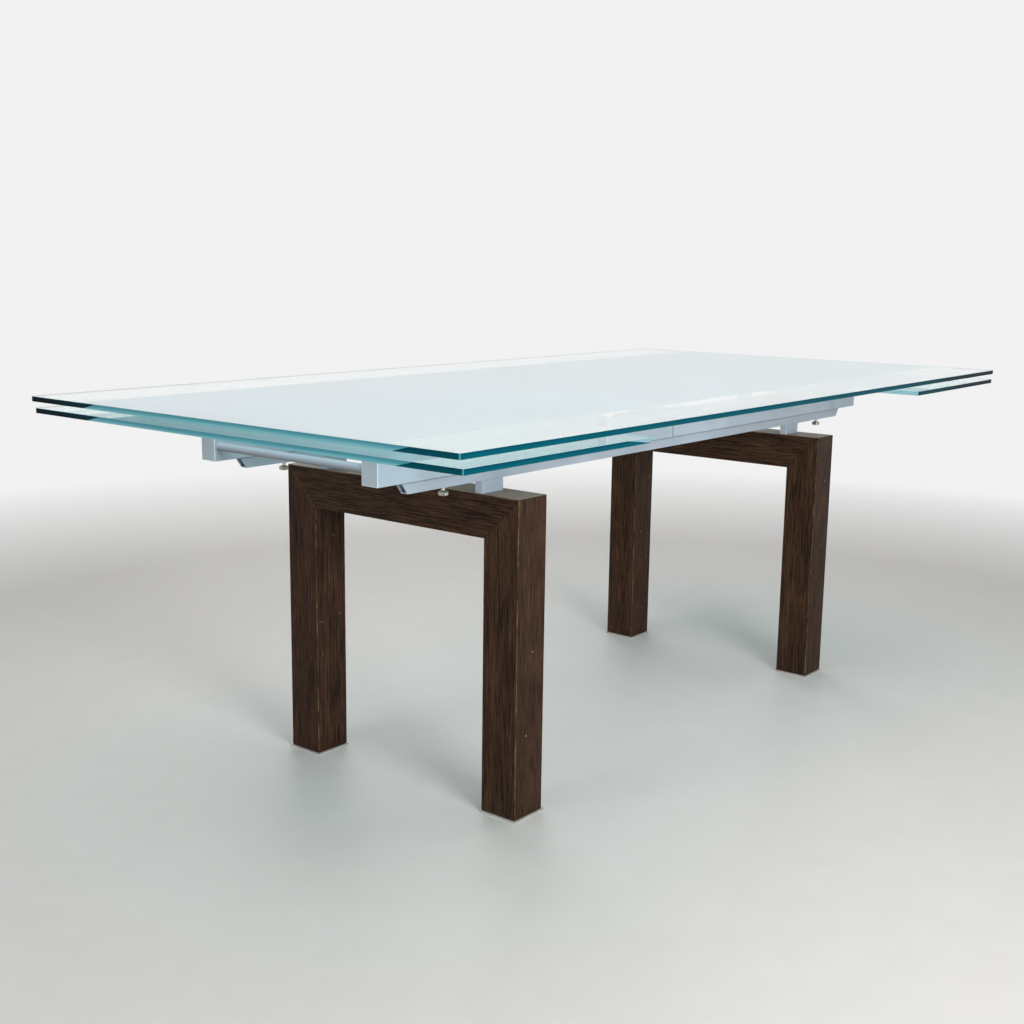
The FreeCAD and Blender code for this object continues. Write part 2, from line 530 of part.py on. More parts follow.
bolts = []
inserts = []
studs = []
stops = []
for end_name, end in ENDS:
    outside = f"{end} * {GUIDE_OUTSIDE}"
    inside = f"{end} * {GUIDE_INSIDE}"
    back = f"{end} * {TRACK_BACK}"
    cavity_wall = f"{end} * ({GUIDE_INSIDE} + Sizes.guide_wall)"
    guide_outline = [
        (outside, GUIDE_BOTTOM),
        (inside, GUIDE_BOTTOM),
        (inside, TRACK_FLOOR),
        (back, TRACK_FLOOR),
        (back, TRACK_CEILING),
        (inside, TRACK_CEILING),
        (inside, GUIDE_TOP),
        (outside, GUIDE_TOP),
    ]
    cavity_outline = [
        (back, BOX_FLOOR),
        (cavity_wall, BOX_FLOOR),
        (cavity_wall, BOX_CEILING),
        (back, BOX_CEILING),
    ]
    blank = prism(f"guide_blank_{end_name}", "YZ_Plane", [guide_outline, cavity_outline],
                  "Sizes.guide_length", f"(-{GUIDE_END})", fillet=("Sizes.profile_round", "x"))
    tools = []
    for side_name, side in SIDES:
        tag = f"{end_name}_{side_name}"
        slant = [
            (f"{side} * ({GUIDE_END} - Sizes.end_cut_length)", GUIDE_BOTTOM),
            (f"{side} * {GUIDE_END}", f"({GUIDE_BOTTOM} + Sizes.end_cut_height)"),
            (f"{side} * ({GUIDE_END} + Sizes.cut_past)", f"({GUIDE_BOTTOM} + Sizes.end_cut_height)"),
            (f"{side} * ({GUIDE_END} + Sizes.cut_past)", f"({GUIDE_BOTTOM} - Sizes.cut_past)"),
            (f"{side} * ({GUIDE_END} - Sizes.end_cut_length)", f"({GUIDE_BOTTOM} - Sizes.cut_past)"),
        ]
        tools.append(prism(f"slant_{tag}", "XZ_Plane", slant, "2 * Sizes.frame_width"))
        notch_reach = "(Sizes.roller_radius + Sizes.notch_room)"
        tools.append(box(
            f"notch_{tag}",
            span(side, f"{SUPPORT_AXLE_PLACE} - {notch_reach}", f"{GUIDE_END} + Sizes.cut_past"),
            span(end, f"{GUIDE_INSIDE} - Sizes.cut_past", TRACK_BACK),
            between(f"{TRACK_CEILING} - Sizes.free_gap", f"{GUIDE_TOP} + Sizes.cut_past"),
        ))
        support_place = f"{side} * {SUPPORT_AXLE_PLACE}"
        tools.append(rod(f"stud_hole_{tag}", "Sizes.axle_radius + Sizes.glue_gap", "y",
                         span(end, f"{TRACK_BACK} - Sizes.cut_past", f"{GUIDE_OUTSIDE} + Sizes.cut_past"),
                         (support_place, SUPPORT_AXLE_LEVEL)))
        studs.append(support_stud(f"support_stud_{tag}", support_place, end))
        node(f"support_roller_{tag}",
             roller(f"support_roller_{tag}", support_place, SUPPORT_AXLE_LEVEL, end))

        # Depths of holes through the box's floor, and through all that lies over its cavity.
        floor_depth = between(f"{GUIDE_BOTTOM} - Sizes.cut_past", f"{BOX_FLOOR} + Sizes.cut_past")
        upper_depth = between(f"{BOX_CEILING} - Sizes.cut_past", f"{GUIDE_TOP} + Sizes.cut_past")

        # Bolts into the block, each under an access hole through the track.
        frame_start = span(side, FRAME_INNER, FRAME_OUTER)[0]
        block_middle = f"({frame_start} + Sizes.block_setback + Sizes.block_length / 2)"
        bolt_line = f"({end} * {BOLT_LINE})"
        for place_name, offset in (("a", -1), ("b", 1)):
            across = f"{block_middle} + {offset} * Sizes.bolt_spacing / 2"
            tools.append(rod(f"guide_hole_{tag}_{place_name}", "Sizes.bolt_radius + Sizes.glue_gap",
                             "z", floor_depth, (across, bolt_line)))
            tools.append(rod(f"access_{tag}_{place_name}", "Sizes.bolt_head_radius + Sizes.free_gap",
                             "z", upper_depth, (across, bolt_line)))
            bolts.append(block_bolt(f"block_bolt_{tag}_{place_name}", across, bolt_line))

        # Thumb screw: threaded insert below, free holes through the shelf and the top flange.
        screw_place = f"{side} * Sizes.screw_place"
        rail_line = f"{end} * {RAIL_LINE}"
        tools.append(rod(f"insert_hole_{tag}", "Sizes.insert_radius + Sizes.glue_gap", "z",
                         floor_depth, (screw_place, rail_line)))
        tools.append(rod(f"screw_way_{tag}", "Sizes.screw_radius + Sizes.free_gap", "z",
                         upper_depth, (screw_place, rail_line)))
        inserts.append(thread_insert(f"insert_{tag}", screw_place, rail_line))
        head_body = rod(f"thumb_head_{tag}", "Sizes.head_radius", "z", (HEAD_BOTTOM, "Sizes.head_height"),
                        (screw_place, rail_line))
        doc.recompute()
        rims = [f"Edge{number}" for number, edge in enumerate(head_body.Shape.Edges, start=1)
                if edge.Curve.TypeId == "Part::GeomCircle"]
        head = doc.addObject("Part::Chamfer", f"thumb_head_edged_{tag}")
        head.Base = head_body
        head.Edges = [(int(rim[4:]), sheet.head_chamfer, sheet.head_chamfer) for rim in rims]
        stem = rod(f"thumb_stem_{tag}", "Sizes.screw_radius", "z", between(HEAD_TOP, SCREW_TOP),
                   (screw_place, rail_line))
        node(f"thumb_screw_{tag}", fuse(f"thumb_screw_{tag}", [head, stem]))

        # Travel stop in the track.
        stops.append(box(
            f"stop_{tag}",
            span(side, STOP_FACE, f"{STOP_FACE} + Sizes.stop_length"),
            span(end, GUIDE_INSIDE, TRACK_BACK),
            between(TRACK_FLOOR, TRACK_CEILING),
        ))
    node(f"guide_rail_{end_name}", cut(f"guide_rail_{end_name}", blank, tools))

node("block_bolts", group("block_bolts", bolts))
node("thread_inserts", group("thread_inserts", inserts))
node("support_roller_studs", group("support_roller_studs", studs))
node("travel_stops", group("travel_stops", stops))

# ---------------------------------------------------------------------------------------------
# Fixed support of the main top: ties between the guides, posts, bearers over the carriages, discs
# ---------------------------------------------------------------------------------------------
posts = []
discs = []
for side_name, side in SIDES:
    place_x = f"{side} * Sizes.bearer_place"
    bearer_x = (f"({place_x} - Sizes.bearer_width / 2)", "Sizes.bearer_width")
    tie = box(f"cross_tie_{side_name}", bearer_x, middle(f"2 * {GUIDE_INSIDE}"), between(BOX_FLOOR, TIE_TOP))
    node(f"cross_tie_{side_name}", tie)

    outer = box(f"bearer_outer_{side_name}", bearer_x, middle("Sizes.bearer_length"),
                between(BEARER_BOTTOM, BEARER_TOP))
    hollow = box(
        f"bearer_hollow_{side_name}",
        (f"({place_x} - Sizes.bearer_width / 2 + Sizes.bearer_wall)",
         "Sizes.bearer_width - 2 * Sizes.bearer_wall"),
        middle("Sizes.bearer_length + 2 * Sizes.cut_past"),
        between(f"{BEARER_BOTTOM} + Sizes.bearer_wall", f"{BEARER_TOP} - Sizes.bearer_wall"),
    )
    node(f"top_bearer_{side_name}", cut(f"top_bearer_{side_name}", outer, [hollow]))

    for end_name, end in ENDS:
        post_y = f"{end} * ({CARRIAGE_INSIDE} - Sizes.post_inset)"
        name = f"post_{end_name}_{side_name}"
        shell = box(name + "_shell",
                    (f"({place_x} - Sizes.post_size / 2)", "Sizes.post_size"),
                    (f"({post_y} - Sizes.post_size / 2)", "Sizes.post_size"),
                    between(TIE_TOP, BEARER_BOTTOM))
        core = "(Sizes.post_size - 2 * Sizes.bearer_wall)"
        bore = box(name + "_bore", (f"({place_x} - {core} / 2)", core), (f"({post_y} - {core} / 2)", core),
                   between(f"{TIE_TOP} - Sizes.cut_past", f"{BEARER_BOTTOM} + Sizes.cut_past"))
        posts.append(cut(name, shell, [bore]))
    for row_name, row_y in (("front", "-Sizes.bearer_length / 2 + Sizes.top_disc_inset"), ("middle", "0"),
                            ("rear", "Sizes.bearer_length / 2 - Sizes.top_disc_inset")):
        discs.append(rod(f"top_disc_{row_name}_{side_name}", "Sizes.disc_radius", "z",
                         between(BEARER_TOP, TOP_UNDERSIDE), (place_x, row_y)))
node("top_support_posts", group("top_support_posts", posts))
node("top_glass_discs", group("top_glass_discs", discs))


# ---------------------------------------------------------------------------------------------
# Carriages: two channel rails, end caps, a cross tube, spacers, discs and inner rollers each
# ---------------------------------------------------------------------------------------------
def carriage_stud(name, across, end):
    """Stud through the inner wall of a carriage rail, with a shoulder up to the roller."""
    parts = []
    steps = (
        ("head", "Sizes.stud_flange", f"{CARRIAGE_INSIDE} - Sizes.stud_head", CARRIAGE_INSIDE),
        ("shank", "Sizes.axle_radius", CARRIAGE_INSIDE, f"{ROLLER_OUTSIDE} + Sizes.side_play / 2"),
        ("shoulder", "Sizes.stud_flange", f"{CARRIAGE_INSIDE} + Sizes.carriage_wall",
         f"{ROLLER_INSIDE} - Sizes.side_play / 2"),
    )
    for part_name, radius, near, far in steps:
        parts.append(rod(f"{name}_{part_name}", radius, "y", span(end, near, far),
                         (across, CARRIAGE_AXLE_LEVEL)))
    return fuse(name, parts)


for side_name, side in SIDES:
    carriage_studs = []
    spacers = []
    leaf_discs = []
    for end_name, end in ENDS:
        tag = f"{end_name}_{side_name}"
        outside = f"{end} * {CARRIAGE_OUTSIDE}"
        inside = f"{end} * {CARRIAGE_INSIDE}"
        outer_face = f"{end} * ({CARRIAGE_OUTSIDE} - Sizes.carriage_wall)"
        inner_face = f"{end} * ({CARRIAGE_INSIDE} + Sizes.carriage_wall)"
        channel = [
            (inside, CARRIAGE_BOTTOM),
            (inner_face, CARRIAGE_BOTTOM),
            (inner_face, WEB_UNDERSIDE),
            (outer_face, WEB_UNDERSIDE),
            (outer_face, CARRIAGE_BOTTOM),
            (outside, CARRIAGE_BOTTOM),
            (outside, CARRIAGE_TOP),
            (inside, CARRIAGE_TOP),
        ]
        start, length = span(side, CARRIAGE_INNER_END, CARRIAGE_OUTER_END)
        blank = prism(f"carriage_blank_{tag}", "YZ_Plane", channel, length, start,
                      fillet=("Sizes.profile_round", "x"))
        axle_place = f"{side} * {CARRIAGE_AXLE_PLACE}"
        stud_hole = rod(f"carriage_stud_hole_{tag}", "Sizes.axle_radius + Sizes.glue_gap", "y",
                        span(end, f"{CARRIAGE_INSIDE} - Sizes.cut_past",
                             f"{CARRIAGE_INSIDE} + Sizes.carriage_wall + Sizes.cut_past"),
                        (axle_place, CARRIAGE_AXLE_LEVEL))
        node(f"carriage_rail_{tag}", cut(f"carriage_rail_{tag}", blank, [stud_hole]))

        plate = box(f"cap_plate_{tag}", span(side, CARRIAGE_OUTER_END, "Sizes.carriage_reach"),
                    span(end, CARRIAGE_INSIDE, CARRIAGE_OUTSIDE), between(CARRIAGE_BOTTOM, CARRIAGE_TOP))
        doc.recompute()
        outer_rim = [f"Edge{number}" for number, edge in enumerate(plate.Shape.Edges, start=1)
                     if min(side * vertex.X for vertex in edge.Vertexes) > sheet.carriage_reach - SAME]
        soft_plate = rounded(f"cap_plate_round_{tag}", plate, sheet.cap_round, outer_rim)
        plug = box(
            f"cap_plug_{tag}",
            span(side, f"{CARRIAGE_OUTER_END} - Sizes.cap_plug", CARRIAGE_OUTER_END),
            span(end, f"{CARRIAGE_INSIDE} + Sizes.carriage_wall + Sizes.cap_play",
                 f"{CARRIAGE_OUTSIDE} - Sizes.carriage_wall - Sizes.cap_play"),
            between(f"{CARRIAGE_BOTTOM} + Sizes.cap_step", f"{WEB_UNDERSIDE} - Sizes.cap_play"),
        )
        node(f"end_cap_{tag}", fuse(f"end_cap_{tag}", [soft_plate, plug]))

        carriage_studs.append(carriage_stud(f"carriage_stud_{tag}", axle_place, end))
        node(f"carriage_roller_{tag}",
             roller(f"carriage_roller_{tag}", axle_place, CARRIAGE_AXLE_LEVEL, end))
        for place_name, distance in (("inner", "Sizes.spacer_inner"), ("outer", "Sizes.spacer_outer")):
            centre = (f"{side} * {distance}", f"{end} * {RAIL_LINE}")
            spacers.append(rod(f"spacer_{tag}_{place_name}", "Sizes.spacer_radius", "z",
                               between(CARRIAGE_TOP, f"{LEAF_UNDERSIDE} - Sizes.disc_thickness"), centre))
            leaf_discs.append(rod(f"leaf_disc_{tag}_{place_name}", "Sizes.disc_radius", "z",
                                  between(f"{LEAF_UNDERSIDE} - Sizes.disc_thickness", LEAF_UNDERSIDE),
                                  centre))

    tube_place = f"{side} * (Sizes.carriage_reach - Sizes.tube_setback)"
    tube_outer = rod(f"tube_outer_{side_name}", "Sizes.tube_radius", "y", middle(f"2 * {CARRIAGE_INSIDE}"),
                     (tube_place, "Sizes.tube_level"))
    tube_bore = rod(f"tube_bore_{side_name}", "Sizes.tube_radius - Sizes.tube_wall", "y",
                    middle(f"2 * ({CARRIAGE_INSIDE} + Sizes.cut_past)"), (tube_place, "Sizes.tube_level"))
    node(f"cross_tube_{side_name}", cut(f"cross_tube_{side_name}", tube_outer, [tube_bore]))
    node(f"carriage_roller_studs_{side_name}", group(f"carriage_roller_studs_{side_name}", carriage_studs))
    node(f"leaf_spacers_{side_name}", group(f"leaf_spacers_{side_name}", spacers))
    node(f"leaf_discs_{side_name}", group(f"leaf_discs_{side_name}", leaf_discs))


# ---------------------------------------------------------------------------------------------
# Glass: the main top and the two stowed leaves, with soft corners and polished arrises
# ---------------------------------------------------------------------------------------------
def pane(label, x, z):
    """Glass pane of the table's full width."""
    blank = box(label + "_blank", x, middle("Sizes.top_width"), z)
    doc.recompute()
    soft = rounded(label + "_corners", blank, sheet.glass_corner, edges_along(blank.Shape, "z"))
    doc.recompute()
    rims = []
    for number, edge in enumerate(soft.Shape.Edges, start=1):
        if edge.BoundBox.ZLength < SAME:
            rims.append((number, sheet.glass_arris, sheet.glass_arris))
    polished = doc.addObject("Part::Chamfer", label)
    polished.Base = soft
    polished.Edges = rims
    return node(label, polished)


pane("top_glass", middle("Sizes.top_length"), between(TOP_UNDERSIDE, "Sizes.table_height"))
for side_name, side in SIDES:
    pane(f"leaf_glass_{side_name}", span(side, LEAF_INNER, LEAF_OUTER), between(LEAF_UNDERSIDE, LEAF_TOP))

# ---------------------------------------------------------------------------------------------
# Check and write
# ---------------------------------------------------------------------------------------------
doc.recompute()
for item in doc.Objects:
    if "Invalid" in item.State or "Error" in item.State:
        raise RuntimeError(f"{item.Name} failed: {item.State}")

os.makedirs("parts", exist_ok=True)
for item in nodes:
    shape = item.Shape
    if shape.isNull() or not shape.isValid() or not shape.Solids:
        raise RuntimeError(f"{item.Label} has no valid shape")
for item in nodes:
    item.Shape.exportStep(f"parts/{item.Label}.step")

whole = FreeCAD.BoundBox()
for item in nodes:
    whole.add(item.Shape.BoundBox)
print(f"{len(nodes)} nodes, {whole.XLength:.1f} x {whole.YLength:.1f} x {whole.ZLength:.1f} mm")
print(f"carriage {value(CARRIAGE_BOTTOM):.1f} to {value(CARRIAGE_TOP):.1f}, "
      f"guide {value(GUIDE_BOTTOM):.1f} to {value(GUIDE_TOP):.1f}, "
      f"axles {value(SUPPORT_AXLE_LEVEL):.2f} and {value(CARRIAGE_AXLE_LEVEL):.2f}, "
      f"travel {value(TRAVEL):.1f}")
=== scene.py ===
# %% [markdown]
# # An extendable glass dining table
#
# This notebook dresses a finished mechanical model of a dining table. The model already holds every
# part at its true size: two dark timber frames, painted steel rails that slide, a glass top and two
# glass leaves stowed under it. Blender adds what a designer sees: the green of thick glass, the
# frosted field in its middle, the grain of the veneer, the paint on the rails and the knurling on
# the thumb screws.
#
# The first cell loads that model as a frame that is never moved. Lengths are in metres.

import math

import bmesh
import bpy
from mathutils import Matrix, Vector


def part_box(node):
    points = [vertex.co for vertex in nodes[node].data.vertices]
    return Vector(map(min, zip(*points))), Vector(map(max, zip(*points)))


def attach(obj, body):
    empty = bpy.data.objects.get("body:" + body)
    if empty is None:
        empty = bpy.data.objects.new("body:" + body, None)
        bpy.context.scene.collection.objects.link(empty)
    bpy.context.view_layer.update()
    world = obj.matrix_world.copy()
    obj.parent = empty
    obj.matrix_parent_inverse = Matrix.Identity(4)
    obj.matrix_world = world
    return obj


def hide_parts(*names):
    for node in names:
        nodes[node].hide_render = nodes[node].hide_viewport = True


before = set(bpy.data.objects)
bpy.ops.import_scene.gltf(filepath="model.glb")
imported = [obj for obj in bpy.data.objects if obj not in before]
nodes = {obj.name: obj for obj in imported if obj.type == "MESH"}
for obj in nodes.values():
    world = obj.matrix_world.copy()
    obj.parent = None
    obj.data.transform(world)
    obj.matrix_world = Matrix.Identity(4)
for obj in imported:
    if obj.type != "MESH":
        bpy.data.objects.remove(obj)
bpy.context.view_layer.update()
MM = 0.001

# %% [markdown]
# ## A small language for materials
#
# A procedural material is arithmetic on a position: bands, streaks and spots are made by scaling,
# adding and comparing numbers. Wiring that by hand takes dozens of Math nodes, so one small class
# wraps a socket and lets Python's own signs add the nodes. `Recipe` holds one material's node tree,
# and its `node` method makes any node: its settings first, then the values or links of its sockets.

# %% The socket wrapper
class Value:
    """A socket that carries a number, which Python's arithmetic signs can work on."""

    def __init__(self, recipe, socket):
        self.recipe = recipe
        self.socket = socket

    def math(self, operation, *others, clamp=False):
        """One Math node on this number and the others."""
        made = self.recipe.node("ShaderNodeMath", {"operation": operation, "use_clamp": clamp},
                                dict(enumerate([self, *others])))
        return Value(self.recipe, made.outputs[0])

    def __add__(self, other):
        return self.math("ADD", other)

    def __sub__(self, other):
        return self.math("SUBTRACT", other)

    def __mul__(self, other):
        return self.math("MULTIPLY", other)

    def __truediv__(self, other):
        return self.math("DIVIDE", other)

    def __rsub__(self, other):
        return (self * -1.0) + other

    def __gt__(self, other):
        return self.math("GREATER_THAN", other)

    def __lt__(self, other):
        return self.math("LESS_THAN", other)

    __radd__ = __add__
    __rmul__ = __mul__

    def size(self):
        """The number without its sign."""
        return self.math("ABSOLUTE")

    def smaller(self, other):
        return self.math("MINIMUM", other)

    def larger(self, other):
        return self.math("MAXIMUM", other)

    def ramp(self, start, end):
        """0 below start, 1 above end, and even in between."""
        return self.math("SUBTRACT", start).math("DIVIDE", end - start, clamp=True)


# %% The material recipe
class Recipe:
    """One material, its Principled shader and the node maker."""

    def __init__(self, name, **finish):
        self.material = bpy.data.materials.new(name)
        self.material.use_nodes = True
        self.tree = self.material.node_tree
        self.shader = self.tree.nodes["Principled BSDF"]
        self.output = self.tree.nodes["Material Output"]
        for socket, setting in finish.items():
            self.shader.inputs[socket.replace("_", " ")].default_value = setting

    def node(self, kind, settings=None, inputs=None):
        """Any node, with its settings and the values or links of its sockets."""
        made = self.tree.nodes.new(kind)
        for setting, content in (settings or {}).items():
            setattr(made, setting, content)
        for key, content in (inputs or {}).items():
            if isinstance(content, Value):
                self.tree.links.new(content.socket, made.inputs[key])
            elif isinstance(content, bpy.types.NodeSocket):
                self.tree.links.new(content, made.inputs[key])
            else:
                made.inputs[key].default_value = content
        return made

    def place(self):
        """Position on the object, in metres, as a vector socket."""
        return self.node("ShaderNodeTexCoord").outputs["Object"]

    def parts(self, vector):
        """The three numbers of a vector socket."""
        split = self.node("ShaderNodeSeparateXYZ", inputs={0: vector})
        return [Value(self, socket) for socket in split.outputs]

    def stretched(self, vector, scale, shift=(0, 0, 0), turn=0.0):
        """The vector moved, turned about Z and scaled along each axis."""
        made = self.node("ShaderNodeMapping", inputs={
            "Vector": vector, "Location": shift, "Rotation": (0, 0, turn), "Scale": scale})
        return made.outputs[0]

    def noise(self, vector, scale, detail=2.0, roughness=0.5, distortion=0.0):
        """Soft random numbers around one half."""
        made = self.node("ShaderNodeTexNoise", inputs={
            "Vector": vector, "Scale": scale, "Detail": detail, "Roughness": roughness,
            "Distortion": distortion})
        return Value(self, made.outputs[0])

    def cells(self, vector, scale, feature="F1"):
        """Distance to a cell's centre or edge, and a random number for each cell."""
        made = self.node("ShaderNodeTexVoronoi", {"feature": feature},
                         {"Vector": vector, "Scale": scale})
        if feature == "DISTANCE_TO_EDGE":
            return Value(self, made.outputs["Distance"]), None
        return Value(self, made.outputs["Distance"]), self.parts(made.outputs["Color"])[0]

    def mix(self, share, first, second):
        """Colour between first and second."""
        made = self.node("ShaderNodeMix", {"data_type": "RGBA"}, {0: share, 6: first, 7: second})
        return made.outputs[2]

    def feed(self, socket, content):
        """Drive a socket of the Principled shader."""
        source = content.socket if isinstance(content, Value) else content
        self.tree.links.new(source, self.shader.inputs[socket])

    def bump(self, height, distance, strength=1.0):
        """Relief on the Principled shader, without moving its surface."""
        made = self.node("ShaderNodeBump", inputs={
            "Height": height, "Distance": distance, "Strength": strength})
        self.feed("Normal", made.outputs[0])


def rgb(red, green, blue):
    """A screen colour from 0 to 255 as the linear colour that shaders want."""
    channels = []
    for number in (red, green, blue):
        share = number / 255
        channels.append(share / 12.92 if share <= 0.04045 else ((share + 0.055) / 1.055) ** 2.4)
    return (*channels, 1.0)


def scaled(colour, factor):
    """A linear colour made lighter or darker."""
    return tuple(min(1.0, channel * factor) for channel in colour[:3]) + (1.0,)


def dress(material, *names):
    """Give CAD parts a material."""
    for name in names:
        slots = nodes[name].material_slots
        if not slots:
            nodes[name].data.materials.append(material)
        for slot in slots:
            slot.link = "OBJECT"
            slot.material = material


def named(*starts):
    """Names of the CAD parts that begin with one of these words."""
    return sorted(name for name in nodes if name.startswith(starts))


print("recipes ready")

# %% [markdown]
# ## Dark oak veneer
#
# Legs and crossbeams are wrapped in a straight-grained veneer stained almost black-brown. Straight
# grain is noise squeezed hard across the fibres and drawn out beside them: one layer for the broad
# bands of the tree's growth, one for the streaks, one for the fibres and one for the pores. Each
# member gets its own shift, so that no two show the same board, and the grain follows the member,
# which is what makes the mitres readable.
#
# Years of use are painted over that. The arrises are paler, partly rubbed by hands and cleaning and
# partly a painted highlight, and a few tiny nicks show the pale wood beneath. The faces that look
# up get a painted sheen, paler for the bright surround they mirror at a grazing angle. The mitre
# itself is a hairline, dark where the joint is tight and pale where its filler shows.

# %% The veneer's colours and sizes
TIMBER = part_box("leg_front_left")[1].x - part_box("leg_front_left")[0].x
FRAME_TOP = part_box("crossbeam_left")[1].z
FRAME_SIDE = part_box("crossbeam_left")[1].y
STAIN_DARK = rgb(15, 10, 8)
STAIN_LIGHT = rgb(83, 58, 42)
PORE = rgb(20, 12, 10)
# pale arrises: rubbed by wear, and partly a painted highlight
WEAR_AND_SHEEN = rgb(150, 117, 88)
NICKED = rgb(190, 166, 140)
# painted sheen for the up-facing faces, for the surround mirrored at a grazing angle
UPPER_SHEEN = rgb(140, 122, 104)
TIGHT_SEAM = rgb(12, 7, 6)
FILLED_SEAM = rgb(138, 104, 82)
ACROSS_GRAIN = 26.0  # how tightly the grain is packed across the fibres
ALONG_GRAIN = 0.36  # and beside them
PORE_DRAW = 0.045  # width of a pore for its length
BOARD_STEP = (1.7, 2.3, 3.1)  # from one member's board to the next
SKIN = 0.3 * MM  # a face counts as the upper one within this of the top
print("timber", round(TIMBER, 3), "top of the frames", round(FRAME_TOP, 3))


# %% The veneer
def grain_layers(recipe, place, axis, seed):
    """Tone of the wood, and masks of its streaks and open pores."""
    along = [ACROSS_GRAIN] * 3
    along[axis] = ALONG_GRAIN
    board = recipe.stretched(place, along, shift=tuple(seed * step for step in BOARD_STEP))
    bands = recipe.noise(board, 1.6, detail=1.0, distortion=0.3)
    streaks = recipe.noise(board, 24.0, detail=4.0, roughness=0.6)
    fibres = recipe.noise(board, 46.0, detail=3.0, roughness=0.7)
    pore_scale = [1.0, 1.0, 1.0]
    pore_scale[axis] = PORE_DRAW
    pore_place = recipe.stretched(place, pore_scale, shift=(seed, seed, seed))
    pores = recipe.noise(pore_place, 950.0, detail=1.0)
    cloud_scale = [12.0, 12.0, 12.0]
    cloud_scale[axis] = 3.0
    clouds = recipe.noise(recipe.stretched(place, cloud_scale), 2.2, detail=3.0)
    tone = ((bands - 0.5) * 0.3 + (streaks - 0.5) * 2.1 + (fibres - 0.5) * 4.6
            + (clouds - 0.5) * 0.8 + 0.48)
    return tone, streaks, pores.ramp(0.60, 0.68) * (0.35 + streaks * 0.6)


def veneer(name, part, grain, seed):
    """Stained veneer for one member, with its grain along X, Y or Z."""
    low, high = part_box(part)
    axis = "xyz".index(grain)
    recipe = Recipe(name, Specular_IOR_Level=0.07, Coat_Roughness=0.30)
    place = recipe.place()
    tone, streaks, open_pores = grain_layers(recipe, place, axis, seed)
    wood = recipe.mix(tone.ramp(0.0, 1.0), STAIN_DARK, STAIN_LIGHT)
    wood = recipe.mix(open_pores, wood, PORE)

    # Paler arrises, from wear and as a painted highlight: close to the edge on both of the
    # directions across the grain.
    spots = recipe.parts(place)
    middle = (low + high) / 2
    across = [index for index in range(3) if index != axis]
    offsets = [(spots[index] - middle[index]).size() for index in across]
    if grain == "y":
        offsets[1] = (spots[2] - (FRAME_TOP - TIMBER / 2)).size()
    edge = offsets[0].smaller(offsets[1])
    rub = recipe.noise(place, 38.0, detail=3.0)
    arris_wear_and_sheen = edge.ramp(TIMBER / 2 - 2.4 * MM, TIMBER / 2 - 0.6 * MM) * rub.ramp(0.38, 0.66)
    wood = recipe.mix(arris_wear_and_sheen * 0.55, wood, WEAR_AND_SHEEN)

    # The mitre: a hairline where the two veneers meet.
    from_side = FRAME_SIDE - spots[1].size()
    from_top = FRAME_TOP - spots[2]
    seam = 1.0 - (from_side - from_top).size().ramp(0.35 * MM, 1.1 * MM)
    filled = (spots[1] + rub * 0.1 > 0.05) * rub.ramp(0.35, 0.6)
    wood = recipe.mix(seam * 0.85, wood, recipe.mix(filled, TIGHT_SEAM, FILLED_SEAM))

    # Nicks: a few on each face, two or three millimetres wide, pale in the middle.
    shifted = recipe.stretched(place, (1.0, 1.0, 1.0), shift=(seed, 0, seed))
    distance, chance = recipe.cells(shifted, 60.0)
    nick = (1.0 - distance.ramp(0.06, 0.12)) * (chance > 0.82)
    wood = recipe.mix(nick * 0.9, wood, NICKED)

    # The upper face gets a painted sheen: paler, for the bright surround it mirrors at a grazing
    # angle.
    skyward = spots[2] > FRAME_TOP - SKIN
    wood = recipe.mix(skyward * (0.35 + streaks * 0.5), wood, UPPER_SHEEN)
    recipe.feed("Base Color", wood)
    haze = recipe.noise(place, 9.0, detail=2.0)
    recipe.feed("Roughness", 0.40 + haze * 0.16 + open_pores * 0.2)
    recipe.feed("Coat Weight", haze * 0.04 + skyward * 0.4)
    recipe.bump(tone * 0.35 - open_pores - nick - seam * 1.5, 0.16 * MM, 0.8)
    return recipe.material


BEAM_BOARDS = 10  # boards of the crossbeams, counted on from those of the legs
for number, part in enumerate(named("leg_f", "leg_r"), start=1):
    dress(veneer("veneer_" + part, part, "z", number), part)
for number, part in enumerate(named("crossbeam"), start=BEAM_BOARDS + 1):
    dress(veneer("veneer_" + part, part, "y", number), part)
print("veneered", named("leg_f", "leg_r", "crossbeam"))

# %% [markdown]
# ## Painted steel
#
# Rails, blocks, tubes and ties share one powder coat, a pale grey with some blue in it. Powder
# melts into a skin that is never quite flat: a soft ripple a few millimetres wide, called orange
# peel. A faint change of tone and some grime keep long rails from looking like plastic strips.
#
# Three places get painted light and shade, each as an option of the same recipe. A dark line of
# painted shade runs along the guide rails just under the carriages' lower lip, where the gap is in
# shadow; the rims of the end caps get a painted highlight; and the cross tubes are painted lighter
# on top and darker underneath, as painted highlight and shade.

# %% The powder coat
PALE_STEEL = rgb(170, 181, 194)
CAP_GREY = rgb(178, 188, 199)
GRIME = rgb(118, 120, 124)
# painted shade: a dark line in the gap under the carriages' lower lip
GAP_SHADE = rgb(66, 68, 74)
# painted highlight on the rims of the end caps
RIM_HIGHLIGHT = rgb(232, 238, 242)
# painted shade under the cross tubes and painted highlight on their tops
TUBE_SHADE = rgb(92, 98, 108)
TUBE_HIGHLIGHT = rgb(206, 216, 230)
RIM_WIDTH = 1.3 * MM


def near_a_rim(recipe, place, part):
    """1 within the rim's width of a cap's outer face and of its outline, and 0 elsewhere."""
    low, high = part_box(part)
    gaps = []
    for index, spot in enumerate(recipe.parts(place)):
        near, far = sorted((abs(low[index]), abs(high[index])))
        gap = far - spot.size()
        gaps.append(gap if index == 0 else gap.smaller(spot.size() - near))
    return gaps[0].larger(gaps[1].smaller(gaps[2])) < RIM_WIDTH


